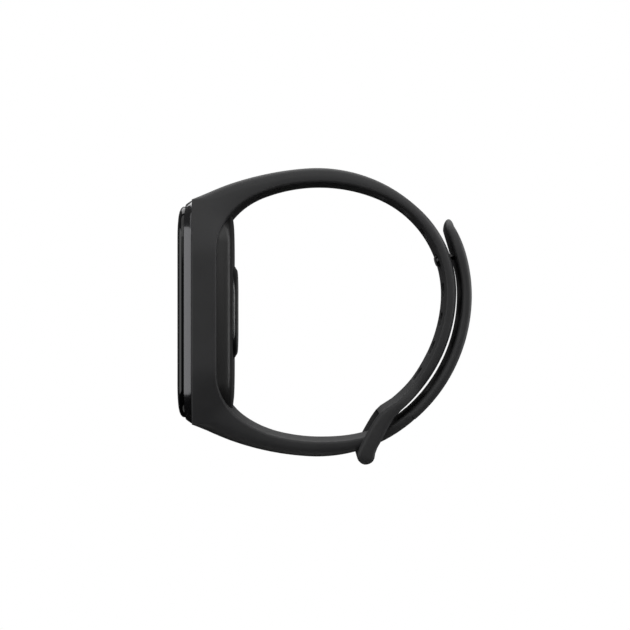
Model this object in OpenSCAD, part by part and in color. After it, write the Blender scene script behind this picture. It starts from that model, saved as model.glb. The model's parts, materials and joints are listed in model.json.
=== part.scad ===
// Fitness tracker band: a silicone strap closed on itself, with a snap-in capsule.
// The origin is the centre of the wrist opening. The screen faces -X, the strap's width lies
// along Y, and the closed loop stands in the XZ plane with +Z up.

/* [Strap] */
// Width of the strap's arms
arm_w = 16; // [14:0.5:18]
// Width of the strap's tail, which runs through the keeper
tail_w = 15.4; // [13:0.2:15.6]
// Width of the cradle around the capsule
cradle_w = 21.5; // [20:0.5:24]
// Overall width of the keeper loop
keeper_w = 19.4; // [18.8:0.2:21]
// Arc length from the rail to the hole that holds the stud
stud_at = 59.4; // [58.6:0.1:60]
// Spacing of the adjustment holes
hole_pitch = 6.2; // [5:0.1:7]
// Length of an adjustment hole across the strap
hole_w = 6.0; // [5.8:0.1:8]
// Size of an adjustment hole along the strap
hole_l = 3.1; // [3:0.1:3.6]

/* [Clasp] */
// Width of the stud's head across the strap
head_w = 5.4; // [4.6:0.1:5.6]
// Size of the stud's head along the strap
head_l = 2.5; // [2:0.1:2.6]
// Height of the stud's head past the strap's inner face
head_h = 0.8; // [0.6:0.05:1.2]
// Length of the oval cap on the tail's outer face
cap_l = 8.2; // [6:0.2:9]
// Width of the oval cap
cap_w = 6.4; // [5:0.2:8]

/* [Capsule] */
// Length of the capsule's bezel
capsule_l = 46.5; // [46:0.1:46.8]
// Width of the capsule's bezel
capsule_w = 18.3; // [17.5:0.1:18.5]
// Length of the capsule's body inside the cradle
body_l = 44.2; // [43:0.1:44.4]
// Width of the capsule's body inside the cradle
body_w = 17.4; // [16.5:0.1:17.6]
// Corner radius of the bezel's outline
corner_r = 7.5; // [5:0.5:8]
// Thickness of the rear shell's wall
wall = 1.0; // [0.8:0.1:1.2]

/* [Hidden] */

// Stations of the capsule's layers along X, from the screen to the wrist
glass_front = -33.55;
glass_back = -32.0;
bezel_seat = -30.42;
bezel_back = -29.0;
shell_back = -22.45;
window_front = -23.3;
window_back = -21.4;
cradle_front = -30.37;
cradle_back = -25.25;

// Arcs of the strap's faces, as [radius, angle turned], each tangent to the one before it.
// The lower pair is drawn upside down and mirrored in Z.
upper_in_from = [cradle_back, 12.5];
upper_in_arcs = [[11, 41], [17, 29], [32.5, 42], [22, 72.5], [29.5, 49.5]];
upper_out_from = [cradle_front, 22.88];
upper_out_turn = 26.5;
upper_out_arcs = [[62, 22.5], [30, 29.5], [33, 17], [23, 49], [31.5, 49.5]];
lower_in_arcs = [[11.5, 50.5], [20.5, 26], [37, 27], [18.5, 19], [31.6, 62.3], [18.2, 9.6],
                 [72.5, 7.6]];
lower_out_turn = 27.5;
lower_out_arcs = [[58.5, 24.5], [29.5, 25.5], [32.5, 39], [34, 23], [31.5, 33]];

// Point and heading after following arcs for a length s from a point and a heading
function turned(p, h, r, a) = [p.x + r * (sin(h) - sin(h - a)), p.y - r * (cos(h) - cos(h - a))];
function arc_len(arc) = arc[0] * arc[1] * PI / 180;
function along(p, h, arcs, s, i = 0) =
    i >= len(arcs) ? [p.x, p.y, h] :
    s <= arc_len(arcs[i])
        ? let (a = s / arcs[i][0] * 180 / PI, q = turned(p, h, arcs[i][0], a)) [q.x, q.y, h - a]
        : along(turned(p, h, arcs[i][0], arcs[i][1]), h - arcs[i][1], arcs,
                s - arc_len(arcs[i]), i + 1);
function total(arcs, i = 0) = i >= len(arcs) ? 0 : arc_len(arcs[i]) + total(arcs, i + 1);
step = 1.2;
function face(p, h, arcs) =
    let (n = ceil(total(arcs) / step))
    [for (k = [0:n]) let (q = along(p, h, arcs, total(arcs) * k / n - 0.0001)) [q.x, q.y]];
function reversed(pts) = [for (k = [len(pts) - 1:-1:0]) pts[k]];
function flipped(pts) = [for (p = pts) [p.x, -p.y]];

upper_in = face(upper_in_from, 90, upper_in_arcs);
upper_out = face(upper_out_from, upper_out_turn, upper_out_arcs);
lower_in = flipped(face(upper_in_from, 90, lower_in_arcs));
lower_out = flipped(face(upper_out_from, lower_out_turn, lower_out_arcs));

// The stud's neck, and how far the cap's top stands off the arm's inner face
neck_w = 4.2;
neck_l = 1.8;
neck_h = 4.6;
cap_rise = 5.5;
cap_t = 0.9;

// The tail bends at this point when it is peeled off the stud's hole
bend = [25.24, -1.82];
bend_r = 0.96;
bend_gap = 0.28;
bend_heading = -4;

// The keeper's rails: a rounded bar through these stations, as [x, z, half thickness]
keeper = [[10.2, -20.35, 1.25], [8.3, -22.2, 1.45], [5.95, -26.67, 1.64], [5.03, -29.19, 1.85]];
keeper_bar = [5.0, -29.65];
keeper_bar_r = 1.38;
rail_t = 1.75;

// Draws a side view at the given width, centred on Y
module side(w) {
    rotate([90, 0, 0]) linear_extrude(w, center = true) children();
}

// A slab across X from x0 to x1 with a rounded outline, l long in Z and w wide in Y
module slab(x0, x1, l, w, r) {
    rad = min(r, w / 2 - 0.01);
    translate([x0, 0, 0]) rotate([0, 90, 0]) linear_extrude(x1 - x0) union() {
        square([l - 2 * rad, w], center = true);
        square([l, w - 2 * rad], center = true);
        for (sx = [-1, 1], sy = [-1, 1])
            translate([sx * (l / 2 - rad), sy * (w / 2 - rad)]) circle(rad, $fn = 48);
    }
}

// A pill along Y standing on its end, from a to b on the local X axis
module pill(a, b, w, l) {
    translate([a, 0, 0]) rotate([0, 90, 0]) {
        for (s = [-1, 1]) translate([0, s * (w - l) / 2, 0]) cylinder(r = l / 2, h = b - a, $fn = 32);
        translate([-l / 2, -(w - l) / 2, 0]) cube([l, w - l, b - a]);
    }
}

// Moves its children to a place on the arm's inner face, +X along the outward normal
module on_arm(s) {
    q = along(upper_in_from, 90, upper_in_arcs, s);
    translate([q[0], 0, q[1]]) rotate([0, -(q[2] + 90), 0]) children();
}

// The space that the capsule's body takes in the cradle, g larger all round
module body_space(g) {
    hull() {
        slab(bezel_seat - 2, -26.5, body_l + 2 * g, body_w + 2 * g, corner_r);
        slab(-24.2, -24 + g, body_l - 1.2 + 2 * g, body_w - 0.9 + 2 * g, corner_r);
        slab(shell_back - 0.1, shell_back + g, 39.6 + 2 * g, 14.4 + 2 * g, corner_r - 1);
    }
}

// The cradle seen from the screen: widest at the middle, easing to the width of the arms
module barrel() {
    mean = (cradle_w + arm_w) / 4;
    swing = (cradle_w - arm_w) / 4;
    ease = [for (k = [0:12]) [11 + 16 * k / 12, mean + swing * cos(180 * k / 12)]];
    half = concat([for (p = reversed(ease)) [-p.x, p.y]], ease);
    ends = [[32, arm_w / 2], [32, -arm_w / 2]];
    rotate([0, 90, 0]) linear_extrude(80, center = true)
        polygon(concat(half, ends, [for (p = reversed(half)) [p.x, -p.y]], -ends));
}

module cradle_outline() {
    polygon(concat([for (p = upper_out) if (p.x < -9) p],
                   reversed([for (p = upper_in) if (p.x < -9) p]),
                   [for (p = lower_in) if (p.x < -9) p],
                   reversed([for (p = lower_out) if (p.x < -9) p])));
}

module upper_outline() {
    polygon(concat(upper_out, reversed(upper_in)));
    translate([keeper[0].x, keeper[0].y]) circle(keeper[0][2], $fn = 32);
}

module lower_outline() {
    inner_end = lower_in[len(lower_in) - 1];
    outer_end = lower_out[len(lower_out) - 1];
    half = (outer_end - inner_end) / 2;
    nose = [for (a = [15:15:165]) inner_end + half * (1 + cos(a)) + [-0.2, 1.9] * sin(a)];
    polygon(concat(lower_out, nose, reversed(lower_in)));
}

// Everything past the tail's bend, in the side view
module past_bend() {
    translate(bend) rotate(bend_heading) translate([-10, 0]) square([20, 30]);
}

module keeper_rail() {
    for (k = [0:2]) {
        a = keeper[k];
        b = keeper[k + 1];
        d = [b.x - a.x, b.y - a.y] / norm([b.x - a.x, b.y - a.y]);
        n = [-d.y, d.x];
        translate([b.x, b.y]) circle(b[2], $fn = 48);
        polygon([[a.x, a.y] + n * a[2], [b.x, b.y] + n * b[2],
                 [b.x, b.y] - n * b[2], [a.x, a.y] - n * a[2]]);
    }
    translate([keeper[0].x, keeper[0].y]) circle(keeper[0][2], $fn = 48);
}

module strap() {
    color([0.2, 0.2, 0.21]) difference() {
        union() {
            intersection() {
                side(cradle_w) cradle_outline();
                barrel();
            }
            difference() {
                side(arm_w) difference() {
                    upper_outline();
                    translate([-40, -40]) square([29, 80]);
                }
                for (k = [-3:4]) on_arm(stud_at + k * hole_pitch) pill(-2, 5, hole_w, hole_l);
            }
            side(tail_w) difference() {
                lower_outline();
                past_bend();
                translate(bend) circle(bend_r + bend_gap, $fn = 48);
                translate([-40, -40]) square([29, 80]);
            }
            for (s = [-1, 1]) translate([0, s * (keeper_w - rail_t) / 2, 0])
                side(rail_t) keeper_rail();
            translate([keeper_bar.x, 0, keeper_bar.y]) rotate([90, 0, 0])
                cylinder(r = keeper_bar_r, h = keeper_w - 1, center = true, $fn = 48);
        }
        body_space(0.12);
    }
}

module tail() {
    color([0.21, 0.21, 0.22]) difference() {
        intersection() {
            side(tail_w) union() {
                intersection() {
                    lower_outline();
                    past_bend();
                }
                translate(bend) circle(bend_r, $fn = 48);
            }
            rotate([0, 90, 0]) linear_extrude(60, center = true) union() {
                translate([-(20 - tail_w / 2), 0]) circle(tail_w / 2, $fn = 64);
                translate([-(20 - tail_w / 2), -tail_w / 2]) square([30, tail_w]);
            }
        }
        on_arm(stud_at) {
            pill(1, 7, neck_w + 0.1, neck_l + 0.1);
            cap_block(0.04);
        }
    }
}

// The stud's head is a low pill with a rounded top, on a narrower neck through the hole
module clasp_stud() {
    color([0.03, 0.03, 0.03]) on_arm(stud_at) {
        pill(-head_h + 0.3, 0.15, head_w, head_l);
        pill(-head_h, -head_h + 0.3, head_w - 0.5, head_l - 0.5);
        pill(0.15, neck_h, neck_w, neck_l);
    }
}

// The oval cap stands proud of the tail's outer face and holds the stud's root
module cap_block(g) {
    translate([cap_rise - cap_t - g, 0, 0]) rotate([0, 90, 0])
        for (s = [-1, 1]) translate([s * (cap_l - cap_w) / 2, 0, 0])
            cylinder(r = cap_w / 2 + g, h = cap_t + g, $fn = 64);
    translate([cap_rise - cap_t - g, -cap_w / 2 - g, -(cap_l - cap_w) / 2])
        cube([cap_t + g, cap_w + 2 * g, cap_l - cap_w]);
}

module clasp_cap() {
    color([0.22, 0.22, 0.23]) on_arm(stud_at) cap_block(0);
}

module bezel() {
    color([0.1, 0.1, 0.11]) difference() {
        union() {
            hull() {
                slab(glass_back, glass_back + 0.1, capsule_l - 2.3, capsule_w - 2.3, corner_r - 1);
                slab(bezel_seat - 0.7, bezel_seat, capsule_l, capsule_w, corner_r);
            }
            slab(bezel_seat, bezel_back, body_l, body_w, corner_r);
        }
        slab(glass_back - 1, bezel_back + 1, body_l - 2.6, body_w - 2.6, corner_r - 1.3);
    }
}

module cover_glass() {
    color([0.02, 0.02, 0.02]) hull() {
        slab(glass_back - 0.45, glass_back, capsule_l - 2.8, capsule_w - 2.8, corner_r - 1);
        slab(glass_back - 1, glass_back - 0.95, capsule_l - 3.4, capsule_w - 3.4, corner_r - 1.3);
        slab(glass_front + 0.2, glass_front + 0.25, capsule_l - 4.8, capsule_w - 4.8, corner_r - 2);
        slab(glass_front, glass_front + 0.02, capsule_l - 7.2, capsule_w - 7.2, corner_r - 3);
    }
}

module touch_film() {
    color([0.15, 0.15, 0.18]) slab(glass_back, glass_back + 0.2, 39, 12.6, 4);
}

module display_panel() {
    color([0.05, 0.05, 0.08]) translate([glass_back + 0.2, -6, -12]) cube([1.1, 12, 28]);
}

module panel_gasket() {
    color([0.1, 0.1, 0.1]) difference() {
        slab(bezel_back - 0.9, bezel_back - 0.5, body_l - 2.7, body_w - 2.7, corner_r - 1.35);
        slab(bezel_back - 1, bezel_back, body_l - 4.4, body_w - 4.4, corner_r - 2.2);
    }
}

// The flex ribbon comes off the panel's lower end and turns down to the board
module display_flex() {
    color([0.75, 0.45, 0.15]) side(5) polygon([
        [-31.2, -12], [-31.2, -15.2], [-29.0, -15.2], [-29.0, -15.05], [-31.05, -15.05],
        [-31.05, -12]]);
}

module rear_shell() {
    color([0.12, 0.12, 0.125]) difference() {
        intersection() {
            body_space(0);
            translate([bezel_back, -20, -30]) cube([20, 40, 60]);
        }
        hull() {
            slab(bezel_back - 1, -26.5, body_l - 2 * wall, body_w - 2 * wall, corner_r - 1);
            slab(-24.2, shell_back - wall, body_l - 5, body_w - 4, corner_r - 2);
        }
        window_plug(0.04);
        for (s = [-1, 1]) translate([-25, s * 2.6, -15.5]) rotate([0, 90, 0])
            cylinder(r = 1.24, h = 5, $fn = 48);
    }
}

// The window's oval plug, g larger all round
module window_plug(g) {
    slab(window_front - 1, window_back + 1, 18.4 + 2 * g, 10 + 2 * g, 5 + g);
}

// The window stands proud of the shell as a sloped oval with a flat top
module sensor_window() {
    color([0.04, 0.04, 0.045]) {
        slab(window_front, shell_back + 0.02, 18.4, 10, 5);
        hull() {
            slab(shell_back + 0.02, shell_back + 0.1, 20.2, 11.4, 5.7);
            slab(window_back - 0.05, window_back, 16.6, 8, 4);
        }
    }
}

module sensor_board() {
    color([0.05, 0.3, 0.15]) translate([-24.25, -4, -7.5]) cube([0.5, 8, 15]);
}

module led(z) {
    translate([-23.75, -0.8, z - 0.8]) cube([0.4, 1.6, 1.6]);
}

module led_upper() {
    color([0.3, 0.9, 0.4]) led(4.6);
}

module led_lower() {
    color([0.3, 0.9, 0.4]) led(-4.6);
}

module photodiode() {
    color([0.1, 0.1, 0.15]) translate([-23.75, -1.4, -1.4]) cube([0.4, 2.8, 2.8]);
}

module main_board() {
    color([0.05, 0.25, 0.15]) slab(-29.0, -28.4, 40.6, 13.4, 5);
}

module shield_can() {
    color([0.75, 0.75, 0.77]) translate([-29.7, -5, -9]) cube([0.7, 10, 14]);
}

module processor() {
    color([0.08, 0.08, 0.08]) translate([-28.4, -2.5, 14.2]) cube([0.7, 5, 5]);
}

module flash_chip() {
    color([0.08, 0.08, 0.08]) translate([-29.5, -2, 7]) cube([0.5, 4, 5]);
}

module antenna() {
    color([0.85, 0.85, 0.8]) translate([-29.9, -4, 17]) cube([0.9, 8, 1.6]);
}

module battery() {
    color([0.7, 0.7, 0.72]) translate([-28.0, -6.1, -11]) cube([3.4, 12.2, 23.5]);
}

module battery_pad() {
    color([0.2, 0.2, 0.2]) translate([-28.4, -5, -10]) cube([0.4, 10, 21]);
}

module battery_tab() {
    color([0.85, 0.6, 0.2]) translate([-28.2, -3.5, 12.5]) cube([0.5, 7, 1.4]);
}

module charge_contact(y) {
    translate([-24.9, y, -15.5]) rotate([0, 90, 0]) cylinder(r = 1.2, h = 2.47, $fn = 48);
}

module charge_contact_left() {
    color([0.8, 0.7, 0.4]) charge_contact(-2.6);
}

module charge_contact_right() {
    color([0.8, 0.7, 0.4]) charge_contact(2.6);
}

// The vibration motor lies across the capsule's lower end; its weight is a half cylinder
motor = [-26.75, -17.2];
motor_r = 1.5;

module motor_cradle() {
    color([0.15, 0.15, 0.15]) difference() {
        translate([-28.4, -5.4, motor.y - 2]) cube([1.6, 5.4, 4]);
        translate([motor.x, 0, motor.y]) rotate([90, 0, 0])
            cylinder(r = motor_r + 0.02, h = 20, center = true, $fn = 48);
    }
}

module motor_can() {
    color([0.8, 0.8, 0.82]) translate([motor.x, 0.4, motor.y]) rotate([90, 0, 0]) difference() {
        cylinder(r = motor_r, h = 5.6, $fn = 48);
        translate([0, 0, -0.1]) cylinder(r = 0.44, h = 3, $fn = 32);
    }
}

module motor_shaft() {
    color([0.6, 0.6, 0.62]) translate([motor.x, 4.6, motor.y]) rotate([90, 0, 0])
        cylinder(r = 0.4, h = 6.8, $fn = 32);
}

module motor_weight() {
    color([0.5, 0.5, 0.52]) translate([motor.x, 4.2, motor.y]) rotate([90, 0, 0]) difference() {
        union() {
            cylinder(r = 0.8, h = 3.2, $fn = 32);
            intersection() {
                cylinder(r = 1.4, h = 3.2, $fn = 48);
                translate([-2, -4, 0]) cube([4, 4, 3.2]);
            }
        }
        translate([0, 0, -0.1]) cylinder(r = 0.4, h = 4, $fn = 32);
    }
}

strap();
tail();
clasp_stud();
clasp_cap();
bezel();
cover_glass();
touch_film();
display_panel();
display_flex();
panel_gasket();
rear_shell();
sensor_window();
sensor_board();
led_upper();
led_lower();
photodiode();
main_board();
shield_can();
processor();
flash_chip();
antenna();
battery();
battery_pad();
battery_tab();
charge_contact_left();
charge_contact_right();
motor_cradle();
motor_can();
motor_shaft();
motor_weight();
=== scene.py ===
import json
import math
import bpy
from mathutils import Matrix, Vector


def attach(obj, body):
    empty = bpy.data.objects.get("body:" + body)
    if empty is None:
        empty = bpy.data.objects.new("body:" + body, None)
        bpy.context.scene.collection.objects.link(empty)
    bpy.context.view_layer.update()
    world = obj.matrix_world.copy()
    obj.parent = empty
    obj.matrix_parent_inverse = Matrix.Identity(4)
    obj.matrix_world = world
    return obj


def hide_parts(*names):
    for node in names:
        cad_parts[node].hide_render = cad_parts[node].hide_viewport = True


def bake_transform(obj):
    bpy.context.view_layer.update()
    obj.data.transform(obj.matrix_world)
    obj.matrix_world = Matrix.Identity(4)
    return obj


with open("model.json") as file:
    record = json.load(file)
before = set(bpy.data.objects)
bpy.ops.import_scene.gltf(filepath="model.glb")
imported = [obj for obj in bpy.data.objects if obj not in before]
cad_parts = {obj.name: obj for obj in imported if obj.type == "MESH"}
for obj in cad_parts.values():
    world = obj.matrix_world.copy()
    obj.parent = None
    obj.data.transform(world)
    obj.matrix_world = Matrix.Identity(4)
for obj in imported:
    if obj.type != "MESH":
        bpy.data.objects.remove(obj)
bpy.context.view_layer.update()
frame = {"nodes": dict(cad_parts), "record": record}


# ---- Strap ----
# One moulding of black silicone: a cradle round the capsule, an upper arm with adjustment
# slots and a keeper loop at its end, and a lower arm that runs through the keeper as the tail.
# It is lofted here along its two faces, and the pocket, slots and keeper window are cut out.

MM = 0.001
CRADLE_FRONT = -30.37
CRADLE_BACK = -25.25
CRADLE_HALF = 10.75
CRADLE_EVEN = 11    # the cradle keeps its full width this far from its middle
CRADLE_TAPER = 16   # and narrows to the arms over this length
OPENING_HALF = 12.5
ARM_HALF = 8.0
ARM_THINNING = 0.16
INNER_ROUND = 0.5
EDGE_ROUND = 0.45
INNER_SWELL = 0.12
OUTER_SWELL = 0.13
STATION_GAP = 0.9
SEAM_AT = 47.6      # the tail's own mesh starts here, hidden in the keeper
TAIL_HALF = 7.7
KEEPER_HALF = 9.7
SLOT_WIDTH = 6.0
SLOT_LENGTH = 3.1
SLOT_PITCH = 6.2
STUD_AT = 59.4

# Each face of the strap is a run of arcs, as (radius, angle turned), from a point and a heading
UPPER_IN = ((CRADLE_BACK, OPENING_HALF), 90,
            ((11, 41), (17, 29), (32.5, 42), (22, 72.5), (29.5, 49.5)))
UPPER_OUT = ((CRADLE_FRONT, 22.88), 26.5,
             ((62, 22.5), (30, 29.5), (33, 17), (23, 49), (31.5, 49.5)))
LOWER_IN = ((CRADLE_BACK, OPENING_HALF), 90,
            ((11.5, 50.5), (20.5, 26), (37, 27), (18.5, 19), (31.6, 62.3), (18.2, 9.6), (72.5, 7.6)))
LOWER_OUT = ((CRADLE_FRONT, 22.88), 27.5,
             ((58.5, 24.5), (29.5, 25.5), (32.5, 39), (34, 23), (31.5, 33)))


def run_length(run):
    """Length of a run of arcs."""
    return sum(math.radians(turn) * radius for radius, turn in run[2])


def along(run, distance):
    """Point and heading after following a run of arcs for a distance."""
    (x, z), heading, arcs = run
    for number, (radius, turn) in enumerate(arcs):
        length = math.radians(turn) * radius
        last = number == len(arcs) - 1
        part = turn if distance > length and not last else math.degrees(distance / radius)
        a, b = math.radians(heading), math.radians(heading - part)
        x, z = x + radius * (math.sin(a) - math.sin(b)), z - radius * (math.cos(a) - math.cos(b))
        heading -= part
        if part != turn or last:
            break
        distance -= length
    return Vector((x, z)), heading


def outline(run, gap=0.4):
    """Evenly spaced points along a run of arcs."""
    count = int(run_length(run) / gap)
    return [along(run, run_length(run) * k / count)[0] for k in range(count + 1)]


def cross(a, b):
    return a.x * b.y - a.y * b.x


def reach(point, direction, line):
    """Where a ray from a point first meets an outline."""
    best = None
    for start, end in zip(line, line[1:]):
        edge = end - start
        den = cross(direction, edge)
        if abs(den) < 1e-9:
            continue
        t = cross(start - point, edge) / den
        u = cross(start - point, direction) / den
        if -1e-6 <= u <= 1 + 1e-6 and t > 0.05 and (best is None or t < best):
            best = t
    return None if best is None else point + direction * best


def ease(value, low, high):
    """Smooth step from 0 at low to 1 at high."""
    t = min(max((value - low) / (high - low), 0), 1)
    return t * t * (3 - 2 * t)


def section(inner, outer, half, r_in, r_out, steps=6):
    """Ring of points round the strap: a rectangle with rounded corners, in millimetres."""
    across = outer - inner
    thick = across.length
    across = across / thick
    r_in = min(r_in, thick * 0.48, half * 0.95)
    r_out = min(r_out, thick - r_in - 0.05, half * 0.95)
    corners = ((r_in, half - r_in, r_in, 180, -1), (thick - r_out, half - r_out, r_out, 90, -1),
               (thick - r_out, r_out - half, r_out, 0, -1), (r_in, r_in - half, r_in, -90, -1))
    ring = []
    for u, v, radius, start, way in corners:
        for k in range(steps + 1):
            a = math.radians(start + way * 90 * k / steps)
            point = inner + across * (u + radius * math.cos(a))
            ring.append(Vector((point.x, v + radius * math.sin(a), point.y)))
    return ring


def loft(name, rings):
    """A closed mesh over a row of rings that all have the same number of points."""
    size = len(rings[0])
    points = [p * MM for ring in rings for p in ring]
    faces = []
    for k in range(len(rings) - 1):
        for i in range(size):
            j = (i + 1) % size
            faces.append((k * size + i, k * size + j, (k + 1) * size + j, (k + 1) * size + i))
    faces.append(tuple(range(size)))
    faces.append(tuple(range((len(rings) - 1) * size, len(rings) * size)))
    mesh = bpy.data.meshes.new(name)
    mesh.from_pydata(points, [], faces)
    piece = bpy.data.objects.new(name, mesh)
    bpy.context.collection.objects.link(piece)
    bpy.ops.object.select_all(action="DESELECT")
    piece.select_set(True)
    bpy.context.view_layer.objects.active = piece
    bpy.ops.object.mode_set(mode="EDIT")
    bpy.ops.mesh.select_all(action="SELECT")
    bpy.ops.mesh.normals_make_consistent(inside=False)
    bpy.ops.object.mode_set(mode="OBJECT")
    return piece


def cut(piece, cutter):
    """Takes a cutter away from a piece and deletes the cutter."""
    bpy.context.view_layer.objects.active = piece
    modifier = piece.modifiers.new("cut", "BOOLEAN")
    modifier.operation = "DIFFERENCE"
    modifier.solver = "EXACT"
    modifier.object = cutter
    bpy.ops.object.modifier_apply(modifier="cut")
    bpy.data.objects.remove(cutter)


def finish_edges(piece, width, angle=35, segments=3):
    """Rounds the sharp edges of a piece and shades the rest smooth."""
    bpy.ops.object.select_all(action="DESELECT")
    piece.select_set(True)
    bpy.context.view_layer.objects.active = piece
    if width:
        modifier = piece.modifiers.new("edge", "BEVEL")
        modifier.width = width * MM
        modifier.segments = segments
        modifier.limit_method = "ANGLE"
        modifier.angle_limit = math.radians(angle)
        modifier.use_clamp_overlap = True
        bpy.ops.object.modifier_apply(modifier="edge")
    bpy.ops.object.shade_smooth_by_angle(angle=math.radians(angle))


def cradle_width(z):
    """Half width of the strap at a height, from the cradle's down to the arms'."""
    t = min(max((abs(z) - CRADLE_EVEN) / CRADLE_TAPER, 0), 1)
    return ARM_HALF + (CRADLE_HALF - ARM_HALF) * (1 + math.cos(math.pi * t)) / 2


def stations(inner_run, outer_run, first, last, gap, sign):
    """Rings of the strap between two distances along its inner face; sign is -1 for the lower half."""
    corner = Vector(outer_run[0])
    line = [Vector((CRADLE_FRONT, 0)), corner] + outline(outer_run)[1:]
    found = []
    count = round((last - first) / gap)
    for k in range(count + 1):
        s = first + (last - first) * k / count
        if s < 0:
            point, heading = Vector((CRADLE_BACK, inner_run[0][1] + s)), 90
        else:
            point, heading = along(inner_run, s)
        a = math.radians(heading)
        end = reach(point, Vector((-math.sin(a), math.cos(a))), line)
        if end is not None:
            found.append([s, point, end])
    gaps = [(end - corner).length for s, point, end in found]
    nearest = min(range(len(found)), key=lambda k: gaps[k])
    if gaps[nearest] < 1.2:
        found[nearest][2] = corner
    return [(s, Vector((p.x, p.y * sign)), Vector((e.x, e.y * sign))) for s, p, e in found]


def strap_ring(point, end, arm_half):
    """Ring from the inner face to the outer one, swollen a little where the cradle meets an arm."""
    middle = (point + end) / 2
    half = arm_half if middle.x > -9 else cradle_width(middle.y)
    front = ease(end.x, CRADLE_FRONT - 0.1, CRADLE_FRONT + 2.5)
    across = (end - point).normalized()
    swell = 1 if middle.y > -21 else 1 - ease(middle.x, -4, 4)
    point = point - across * INNER_SWELL * ease(middle.x, -23, -15) * swell
    if end.y > 0 or end.y < -22:
        end = end + across * OUTER_SWELL * ease(end.x, -29, -22) * (1 - ease(end.x, 8, 18))
    thick = (end - point).length
    widest = min(0.62 * thick, 2.2 if middle.y > 0 else 3.2)
    outer_round = EDGE_ROUND + (widest - EDGE_ROUND) * front
    return section(point, end, half, INNER_ROUND, outer_round)


upper_end = run_length(UPPER_IN) - 2.0
upper = stations(UPPER_IN, UPPER_OUT, -OPENING_HALF, upper_end, STATION_GAP, 1)
lower = stations(LOWER_IN, LOWER_OUT, -OPENING_HALF, SEAM_AT, STATION_GAP, -1)

rings = [strap_ring(p, e, ARM_HALF - 0.3 * ease(s, 20, 40)) for s, p, e in reversed(lower[1:])]
for s, p, e in upper:
    widen = (KEEPER_HALF - ARM_HALF) * ease(s, upper_end - 7, upper_end + 1)
    thinner = ARM_THINNING * ease(s, 80, 88)
    rings.append(strap_ring(p + (e - p).normalized() * thinner, e, ARM_HALF + widen))

# The keeper bends outwards from the arm and ends in a round bar; the line gives x, z, half thickness
KEEPER_ROUND = 0.85
keeper_rings = [rings[-1]]
KEEPER_LINE = ((9.63, -20.68, 1.34), (8.83, -21.69, 1.52), (8.04, -22.94, 1.6), (7.25, -24.34, 1.64),
               (6.5, -25.7, 1.66), (5.83, -26.94, 1.64), (5.31, -28.15, 1.7), (5.0, -29.19, 1.83))
for k, (x, z, half) in enumerate(KEEPER_LINE):
    before = KEEPER_LINE[max(k - 1, 0)]
    after = KEEPER_LINE[min(k + 1, len(KEEPER_LINE) - 1)]
    way = Vector((after[0] - before[0], after[1] - before[1])).normalized()
    side = Vector((way.y, -way.x))
    centre = Vector((x, z))
    keeper_rings.append(section(centre + side * half, centre - side * half, KEEPER_HALF,
                                KEEPER_ROUND, KEEPER_ROUND))
bar_x, bar_z, bar_half = KEEPER_LINE[-1]
for k in range(1, 6):
    a = math.radians(15 * k + 5)
    centre = Vector((bar_x, bar_z)) + way * bar_half * math.sin(a)
    half = bar_half * math.cos(a)
    width = KEEPER_HALF - KEEPER_ROUND * (1 - math.cos(a))
    keeper_rings.append(section(centre + side * half, centre - side * half, width,
                                KEEPER_ROUND, KEEPER_ROUND))
strap = loft("strap_moulding", rings)
keeper = loft("keeper", keeper_rings)


def slab(x, length, width, radius, steps=10):
    """Ring of a rounded rectangle across X, in millimetres: length along Z, width along Y."""
    ring = []
    for cy, cz, start in ((1, 1, 0), (-1, 1, 90), (-1, -1, 180), (1, -1, 270)):
        for k in range(steps + 1):
            a = math.radians(start + 90 * k / steps)
            y = cy * (width / 2 - radius) + radius * math.cos(a)
            z = cz * (length / 2 - radius) + radius * math.sin(a)
            ring.append(Vector((x, y, z)))
    return ring


# The capsule's body, as x, length, width and corner radius; the pocket is larger by a small gap
BODY = ((-34, 44.2, 17.4, 7.5), (-26.5, 44.2, 17.4, 7.5), (-25.2, 43.8, 17.1, 7.4), (-24, 43.0, 16.5, 7.2),
        (-23.2, 41.8, 15.7, 6.9), (-22.7, 40.6, 15.0, 6.6), (-22.45, 39.2, 14.0, 6.2))
POCKET_GAP = 0.12
pocket = [slab(x, length + 2 * POCKET_GAP, width + 2 * POCKET_GAP, radius + 0.1)
          for x, length, width, radius in BODY]
pocket.append(slab(-21.8, 39.2, 14.0, 6.2))
cut(strap, loft("pocket", pocket))


def pill_ring(middle, axis, across, width, length, steps=8):
    """Ring of a pill-shaped hole: middle is its centre, width lies along Y."""
    ring = []
    for side, start in ((1, 0), (-1, 180)):
        for k in range(steps + 1):
            a = math.radians(start + 180 * k / steps)
            y = side * (width - length) / 2 + length / 2 * math.sin(a)
            t = length / 2 * math.cos(a)
            ring.append(Vector((middle.x + across.x * t, y, middle.y + across.y * t)))
    return ring


def on_arm(distance):
    """Point on the arm's inner face, its outward normal and its direction along the strap."""
    point, heading = along(UPPER_IN, distance)
    a = math.radians(heading)
    return point, Vector((-math.sin(a), math.cos(a))), Vector((math.cos(a), math.sin(a)))


# Eight slots right through the arm, with the stud in the fourth of them
for k in range(-3, 5):
    point, normal, way = on_arm(STUD_AT + k * SLOT_PITCH)
    ends = [pill_ring(point + normal * n, normal, way, SLOT_WIDTH, SLOT_LENGTH) for n in (-1, 2.75)]
    cut(strap, loft("slot", ends))

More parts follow.
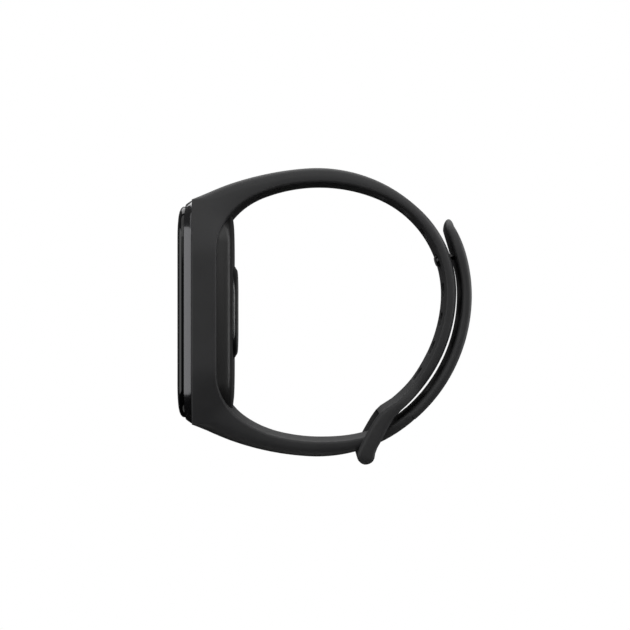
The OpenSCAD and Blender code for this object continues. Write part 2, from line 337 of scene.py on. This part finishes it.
# The keeper's window, from under the arm's end down to the bar
window_top = Vector((9.2, -21.5))
window_low = Vector((5.55, -27.75))
WINDOW_HALF = 7.95
WINDOW_ROUND = 0.8
way = (window_low - window_top).normalized()
side = Vector((way.y, -way.x))
window = []
for n in (-4, 4):
    middle = (window_top + window_low) / 2 + side * n
    half_l = (window_low - window_top).length / 2
    ring = []
    for sy, st, start in ((1, 1, 0), (-1, 1, 90), (-1, -1, 180), (1, -1, 270)):
        for k in range(6):
            a = math.radians(start + 18 * k)
            y = sy * (WINDOW_HALF - WINDOW_ROUND) + WINDOW_ROUND * math.cos(a)
            t = st * (half_l - WINDOW_ROUND) + WINDOW_ROUND * math.sin(a)
            ring.append(Vector((middle.x + way.x * t, y, middle.y + way.y * t)))
    window.append(ring)
cut(keeper, loft("window", window))

# The two lofts share the ring at the arm's end: both caps go and the rings are merged
joint = rings[-1]
face_middle = sum(joint, Vector()) / len(joint) * MM
for piece in (strap, keeper):
    bpy.ops.object.select_all(action="DESELECT")
    piece.select_set(True)
    bpy.context.view_layer.objects.active = piece
    bpy.ops.object.mode_set(mode="EDIT")
    bpy.ops.mesh.select_mode(type="FACE")
    bpy.ops.mesh.select_all(action="DESELECT")
    bpy.ops.object.mode_set(mode="OBJECT")
    cap = min(piece.data.polygons, key=lambda face: (face.center - face_middle).length)
    cap.select = True
    bpy.ops.object.mode_set(mode="EDIT")
    bpy.ops.mesh.delete(type="ONLY_FACE")
    bpy.ops.object.mode_set(mode="OBJECT")
strap.select_set(True)
keeper.select_set(True)
bpy.context.view_layer.objects.active = strap
bpy.ops.object.join()
bpy.ops.object.mode_set(mode="EDIT")
bpy.ops.mesh.select_all(action="SELECT")
bpy.ops.mesh.remove_doubles(threshold=0.0005 * MM)
bpy.ops.object.mode_set(mode="OBJECT")
finish_edges(strap, 0.28)


def linear(hexed):
    """Linear colour of an sRGB hex value."""
    parts = [int(hexed[k:k + 2], 16) / 255 for k in (0, 2, 4)]
    return [c / 12.92 if c <= 0.04045 else ((c + 0.055) / 1.055) ** 2.4 for c in parts] + [1]


def add(material, kind, links=(), **settings):
    """Adds a node with its settings, and links each (output, input) pair to it."""
    node = material.node_tree.nodes.new(kind)
    for name, value in settings.items():
        if hasattr(node, name):
            setattr(node, name, value)
        else:
            node.inputs[name.replace("_", " ")].default_value = value
    for output, name in links:
        material.node_tree.links.new(output, node.inputs[name])
    return node


def start_material(name):
    """A new material and its shader node."""
    material = bpy.data.materials.new(name)
    material.use_nodes = True
    return material, material.node_tree.nodes["Principled BSDF"]


def put(piece, material):
    piece.data.materials.clear()
    piece.data.materials.append(material)


# Moulded silicone rubber with a spark-eroded fine texture: a dark matt skin with a faint bloom.
# The texture's grain is about 0.05 mm; it is drawn at 0.15 mm so that it shows.
silicone, shader = start_material("moulded_silicone_black")
spots = add(silicone, "ShaderNodeTexCoord")
grain = add(silicone, "ShaderNodeTexNoise", [(spots.outputs["Object"], "Vector")],
            Scale=6500.0, Detail=3.0)
bloom = add(silicone, "ShaderNodeTexNoise", [(spots.outputs["Object"], "Vector")],
            Scale=180.0, Detail=4.0)
tone = add(silicone, "ShaderNodeMapRange", [(bloom.outputs["Fac"], "Value")], To_Min=0.5, To_Max=0.6)
silicone.node_tree.links.new(tone.outputs["Result"], shader.inputs["Roughness"])
ramp = add(silicone, "ShaderNodeValToRGB", [(bloom.outputs["Fac"], "Fac")])
ramp.color_ramp.elements[0].position = 0.3
ramp.color_ramp.elements[0].color = linear("2b2b2c")
ramp.color_ramp.elements[1].position = 0.75
ramp.color_ramp.elements[1].color = linear("303031")
silicone.node_tree.links.new(ramp.outputs["Color"], shader.inputs["Base Color"])
relief = add(silicone, "ShaderNodeBump", [(grain.outputs["Fac"], "Height")], Strength=0.25, Distance=0.00003)
silicone.node_tree.links.new(relief.outputs["Normal"], shader.inputs["Normal"])
shader.inputs["IOR"].default_value = 1.41
put(strap, silicone)
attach(strap, "strap")
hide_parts("strap")


# ---- Tail ----
# The strap's free end, the same silicone. It comes through the keeper, lies over the upper arm
# and ends in a round tip.

TAIL_ROUND = 0.95
TIP_LENGTH = 1.9
tail_end = run_length(LOWER_IN)
tail_rows = stations(LOWER_IN, LOWER_OUT, SEAM_AT, tail_end, 0.7, -1)
tail_rings = []
last_row = tail_rows[-1]
for s, p, e in tail_rows:
    left = last_row[0] - s + TIP_LENGTH
    half = TAIL_HALF
    if left < TAIL_HALF:
        half = math.sqrt(TAIL_HALF ** 2 - (TAIL_HALF - left) ** 2)
    tail_rings.append(section(p, e + (e - p).normalized() * 0.05, half, TAIL_ROUND, TAIL_ROUND))
inner_end, outer_end = last_row[1], last_row[2]
for k in range(1, 8):
    a = math.radians(12 * k + 4)
    shift = Vector((-0.2, TIP_LENGTH)) * math.sin(a)
    middle = (inner_end + outer_end) / 2 + shift
    reach_out = (outer_end - inner_end) / 2 * math.cos(a)
    left = TIP_LENGTH * (1 - math.sin(a)) + 0.02
    half = math.sqrt(TAIL_HALF ** 2 - (TAIL_HALF - left) ** 2)
    tail_rings.append(section(middle - reach_out, middle + reach_out, half, TAIL_ROUND, TAIL_ROUND))
tail = loft("tail_moulding", tail_rings)
finish_edges(tail, 0, angle=50)
put(tail, silicone)
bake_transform(tail)
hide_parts("tail")


# ---- Clasp ----
# A hard nylon stud with a polished pill-shaped head goes through the tail and a slot of the arm;
# an oval cap moulded over its root stands a little proud of the tail's outer face.

HEAD_WIDTH, HEAD_LENGTH, HEAD_HEIGHT = 5.4, 2.5, 0.8
point, normal, way = on_arm(STUD_AT)
profile = ((-HEAD_HEIGHT, 0.9), (-HEAD_HEIGHT + 0.06, 0.45), (-HEAD_HEIGHT + 0.2, 0.18),
           (-HEAD_HEIGHT + 0.4, 0.04), (-0.1, 0), (0.1, 0.06), (0.16, 0.3), (0.17, 0.5), (4.6, 0.5))
stud_rings = [pill_ring(point + normal * n, normal, way, HEAD_WIDTH - 2 * less, HEAD_LENGTH - 2 * less)
              for n, less in profile]
stud = loft("clasp_stud_polished", stud_rings)
finish_edges(stud, 0, angle=50)

# Injection-moulded nylon from a polished tool: near black, with sharp highlights
nylon, shader = start_material("polished_nylon_black")
shader.inputs["Base Color"].default_value = linear("060606")
shader.inputs["Roughness"].default_value = 0.12
shader.inputs["IOR"].default_value = 1.53
put(stud, nylon)
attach(stud, "tail")
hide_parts("clasp_stud")

CAP_LENGTH, CAP_WIDTH, CAP_RISE = 8.2, 6.4, 0.2
TAIL_FACE_AT = 5.22     # from the arm's inner face out to the tail's outer face
TAIL_FACE_RADIUS = 30


def tail_face(t, y, rise):
    """A point over the tail's outer face, t millimetres along it from the stud."""
    foot = point + normal * TAIL_FACE_AT
    centre = foot - normal * TAIL_FACE_RADIUS
    a = t / TAIL_FACE_RADIUS
    spot = centre + (normal * math.cos(a) + way * math.sin(a)) * (TAIL_FACE_RADIUS + rise)
    return Vector((spot.x, y, spot.y))


cap_rings = []
for inset, rise in ((0, -0.9), (0, CAP_RISE - 0.12), (0.05, CAP_RISE - 0.05), (0.16, CAP_RISE),
                    (0.8, CAP_RISE + 0.02), (1.8, CAP_RISE + 0.03), (2.8, CAP_RISE + 0.035)):
    ring = []
    for k in range(64):
        a = math.tau * k / 64
        run = (CAP_LENGTH - CAP_WIDTH) / 2 * (1 if math.cos(a) >= 0 else -1)
        t = run + (CAP_WIDTH / 2 - inset) * math.cos(a)
        ring.append(tail_face(t, (CAP_WIDTH / 2 - inset) * math.sin(a), rise))
    cap_rings.append(ring)
cap = loft("clasp_cap_moulding", cap_rings)
finish_edges(cap, 0, angle=50)
put(cap, silicone)
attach(cap, "tail")
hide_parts("clasp_cap")


# ---- Capsule shell ----
# Rear shell of black polycarbonate with a satin mould texture, snapped into the cradle; its back
# is gently crowned and carries the sensor window and two charging contacts.

shell_rings = [slab(x, length, width, radius) for x, length, width, radius in BODY if x > -30]
shell_rings.insert(0, slab(-29.0, 44.2, 17.4, 7.5))
shell_rings += [slab(-22.3, 37.0, 12.4, 5.6), slab(-22.22, 33.0, 9.6, 4.4)]
shell = loft("rear_shell_moulding", shell_rings)
finish_edges(shell, 0, angle=40)

# Polycarbonate from a blasted tool: black with a broad satin sheen. The grain is drawn at 0.14 mm.
polycarbonate, shader = start_material("satin_polycarbonate_black")
spots = add(polycarbonate, "ShaderNodeTexCoord")
grain = add(polycarbonate, "ShaderNodeTexNoise", [(spots.outputs["Object"], "Vector")],
            Scale=7000.0, Detail=2.0)
relief = add(polycarbonate, "ShaderNodeBump", [(grain.outputs["Fac"], "Height")],
             Strength=0.12, Distance=0.00002)
polycarbonate.node_tree.links.new(relief.outputs["Normal"], shader.inputs["Normal"])
shader.inputs["Base Color"].default_value = linear("121212")
shader.inputs["Roughness"].default_value = 0.42
shader.inputs["IOR"].default_value = 1.58
put(shell, polycarbonate)
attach(shell, "capsule")
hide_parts("rear_shell")


# ---- Sensor window ----
# An oval lens of polished black acrylic over the heart sensor, standing 1 mm proud of the shell.

window_rings = [slab(x, length, width, width / 2 - 0.01) for x, length, width in (
    (-23.3, 18.4, 10.0), (-22.5, 20.2, 11.4), (-22.38, 20.1, 11.3), (-22.1, 19.3, 10.6),
    (-21.75, 18.2, 9.6), (-21.5, 17.4, 8.8), (-21.42, 16.8, 8.2), (-21.4, 16.0, 7.4),
    (-21.4, 9.6, 1.0))]
lens = loft("sensor_window_polished", window_rings)
finish_edges(lens, 0, angle=50)
# Infrared-clear acrylic, polished: black to the eye and glossy, with clear reflections
acrylic, shader = start_material("polished_acrylic_black")
shader.inputs["Base Color"].default_value = linear("0a0a0b")
shader.inputs["Roughness"].default_value = 0.14
shader.inputs["IOR"].default_value = 1.49
put(lens, acrylic)
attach(lens, "capsule")
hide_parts("sensor_window")


# ---- Bezel ----
# The mid frame's rim: metal with a glossy black coating, flared from the glass to the strap.

bezel_rings = [slab(x, length, width, radius) for x, length, width, radius in (
    (-29.0, 44.1, 17.3, 7.4), (-30.42, 44.2, 17.4, 7.5), (-30.42, 46.45, 18.25, 7.6),
    (-30.46, 46.5, 18.3, 7.65), (-30.6, 46.42, 18.22, 7.62), (-31.0, 46.0, 17.8, 7.5),
    (-31.5, 45.35, 17.15, 7.2), (-31.98, 44.6, 16.4, 6.8), (-32.02, 44.4, 16.2, 6.7),
    (-32.02, 41.6, 13.6, 5.6))]
bezel = loft("bezel_coated", bezel_rings)
finish_edges(bezel, 0, angle=30)
# Metal under a black vapour coating and lacquer: dark mirror bands along the rim
coated, shader = start_material("black_coated_metal")
shader.inputs["Base Color"].default_value = linear("464648")
shader.inputs["Metallic"].default_value = 0.9
shader.inputs["Roughness"].default_value = 0.2
shader.inputs["Coat Weight"].default_value = 0.8
shader.inputs["Coat Roughness"].default_value = 0.08
put(bezel, coated)
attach(bezel, "capsule")
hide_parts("bezel")


# ---- Cover glass ----
# Tempered glass with curved edges, printed black behind, glued into the bezel.

glass_rings = [slab(x, length, width, radius) for x, length, width, radius in (
    (-31.9, 43.4, 15.2, 6.4), (-32.1, 43.7, 15.5, 6.5), (-32.5, 43.68, 15.48, 6.5),
    (-32.8, 43.4, 15.2, 6.4), (-33.1, 42.7, 14.5, 6.1), (-33.3, 41.8, 13.6, 5.7),
    (-33.43, 40.8, 12.6, 5.3), (-33.52, 39.4, 11.2, 4.7), (-33.55, 37.0, 9.0, 3.8),
    (-33.55, 30.0, 3.0, 1.2))]
glass = loft("cover_glass_printed", glass_rings)
finish_edges(glass, 0, angle=40)
# Tempered glass printed black behind: deep black and glossy. The screen's own area is a shade
# lighter than the print round it, as on a blank display.
DISPLAY_CORE = (("Y", 0.0042), ("Z", 0.0166))
DISPLAY_CORNER = 0.005
printed, shader = start_material("black_printed_glass")
spots = add(printed, "ShaderNodeTexCoord")
place = add(printed, "ShaderNodeSeparateXYZ", [(spots.outputs["Object"], "Vector")])
beyond = []
for axis, half in DISPLAY_CORE:
    size = add(printed, "ShaderNodeMath", [(place.outputs[axis], 0)], operation="ABSOLUTE")
    over = add(printed, "ShaderNodeMath", [(size.outputs[0], 0)], operation="SUBTRACT")
    over.inputs[1].default_value = half
    beyond.append(add(printed, "ShaderNodeMath", [(over.outputs[0], 0)], operation="MAXIMUM"))
    beyond[-1].inputs[1].default_value = 0.0
corner = add(printed, "ShaderNodeCombineXYZ", [(beyond[0].outputs[0], "X"), (beyond[1].outputs[0], "Y")])
edge = add(printed, "ShaderNodeVectorMath", [(corner.outputs[0], 0)], operation="LENGTH")
span = add(printed, "ShaderNodeMapRange", [(edge.outputs["Value"], "Value")], From_Max=DISPLAY_CORNER)
ink = add(printed, "ShaderNodeValToRGB", [(span.outputs["Result"], "Fac")])
ink.color_ramp.elements[0].position = 0.5
ink.color_ramp.elements[0].color = linear("101114")
ink.color_ramp.elements[1].position = 0.52
ink.color_ramp.elements[1].color = linear("040405")
printed.node_tree.links.new(ink.outputs["Color"], shader.inputs["Base Color"])
shader.inputs["Roughness"].default_value = 0.06
shader.inputs["IOR"].default_value = 1.51
put(glass, printed)
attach(glass, "capsule")
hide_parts("cover_glass")


# ---- Inside the capsule ----
# Board, cell, motor and sensor parts, sealed in by the bezel and the shell. The CAD pieces stay
# as they are and get the finish of the real ones.


def plain(name, colour, rough, metal=0.0, scale=900.0, depth=0.08):
    """A finish with a fine irregular surface, at the grain of the real process."""
    material, shader = start_material(name)
    spots = add(material, "ShaderNodeTexCoord")
    noise = add(material, "ShaderNodeTexNoise", [(spots.outputs["Object"], "Vector")],
                Scale=scale, Detail=3.0)
    bump = add(material, "ShaderNodeBump", [(noise.outputs["Fac"], "Height")],
               Strength=depth, Distance=0.00002)
    material.node_tree.links.new(bump.outputs["Normal"], shader.inputs["Normal"])
    shader.inputs["Base Color"].default_value = linear(colour)
    shader.inputs["Roughness"].default_value = rough
    shader.inputs["Metallic"].default_value = metal
    return material


finishes = {
    "panel_black": plain("laminated_panel", "08080a", 0.2),
    "flex_amber": plain("polyimide_film", "a8641e", 0.35),
    "foam_black": plain("closed_cell_foam", "1c1c1c", 0.9, scale=4000.0, depth=0.5),
    "board_green": plain("solder_resist", "0f4a2a", 0.35),
    "led_green": plain("clear_epoxy_green", "3fbf55", 0.2),
    "chip_black": plain("moulded_epoxy", "1a1a1a", 0.6, scale=5000.0, depth=0.3),
    "can_steel": plain("tinned_steel", "b4b4b8", 0.35, 1.0),
    "antenna_ceramic": plain("fired_ceramic", "d8d4c8", 0.5),
    "cell_foil": plain("laminated_foil", "b0b0b4", 0.4, 1.0, scale=600.0, depth=0.4),
    "contact_gold": plain("gold_plated_brass", "d9b25a", 0.22, 1.0),
    "weight_tungsten": plain("sintered_tungsten", "77777a", 0.5, 1.0, scale=3000.0, depth=0.3),
}
slots = {part["node"]: part["material_slot"] for part in frame["record"]["subparts"]}
for node, name in slots.items():
    if name in finishes:
        put(frame["nodes"][node], finishes[name])


# ---- Stage ----
# A pale table well below the band, soft boxes behind, left, right, above and in front, and a
# white room that lights the band only faintly, more from above than from below.

bpy.ops.object.select_all(action="DESELECT")
bpy.ops.mesh.primitive_cylinder_add(vertices=96, radius=0.2, depth=0.01, location=(0, 0, -0.5))
table = bpy.context.object
table.name = "table"
paint, shader = start_material("white_matt_paint")
shader.inputs["Base Color"].default_value = linear("f2f2f0")
shader.inputs["Roughness"].default_value = 0.8
put(table, paint)


def soft_box(name, place, aim, width, height, power):
    """A rectangular lamp that faces a point."""
    light = bpy.data.lights.new(name, "AREA")
    light.shape = "RECTANGLE"
    light.size = width
    light.size_y = height
    light.energy = power
    lamp = bpy.data.objects.new(name, light)
    lamp.location = place
    lamp.rotation_mode = "QUATERNION"
    lamp.rotation_quaternion = (Vector(aim) - Vector(place)).to_track_quat("-Z", "Y")
    bpy.context.collection.objects.link(lamp)


soft_box("box_behind", (0.0, 0.4, 0.6), (0, 0, 0), 0.8, 0.6, 3.2)
soft_box("box_left", (-0.45, -0.16, 0.02), (-0.02, 0, 0), 0.5, 0.33, 0.8)
soft_box("box_right", (0.6, 0.04, 0.12), (0, 0, 0), 0.35, 0.6, 3.4)
soft_box("box_high", (0.02, -0.33, 0.4), (0, 0, 0.01), 1.3, 0.9, 3.2)
soft_box("box_front", (0.05, -0.85, 0.42), (0, 0, 0), 1.4, 0.7, 1.4)

world = bpy.data.worlds.new("white_room")
bpy.context.scene.world = world
world.use_nodes = True
tree = world.node_tree
room = tree.nodes["Background"]
room.inputs["Color"].default_value = (1, 1, 1, 1)
sight = add(world, "ShaderNodeTexCoord")
height = add(world, "ShaderNodeSeparateXYZ", [(sight.outputs["Generated"], "Vector")])
walls = add(world, "ShaderNodeMapRange", [(height.outputs["Z"], "Value")],
            From_Min=-0.35, From_Max=0.0, To_Min=0.006, To_Max=0.09)
tree.links.new(walls.outputs["Result"], room.inputs["Strength"])
backdrop = add(world, "ShaderNodeBackground", Color=(1, 1, 1, 1), Strength=1.0)
path = add(world, "ShaderNodeLightPath")
mix = add(world, "ShaderNodeMixShader", [(path.outputs["Is Camera Ray"], "Fac"),
                                         (room.outputs["Background"], 1),
                                         (backdrop.outputs["Background"], 2)])
tree.links.new(mix.outputs["Shader"], tree.nodes["World Output"].inputs["Surface"])
bpy.context.scene.view_settings.view_transform = "Standard"

camera = bpy.data.objects.new("camera", bpy.data.cameras.new("camera"))
camera.data.lens = 100
camera.data.sensor_width = 36
camera.location = (-0.00533, -0.364, -0.00062)
camera.rotation_euler = (math.radians(90), 0, 0)
bpy.context.collection.objects.link(camera)
bpy.context.scene.camera = camera
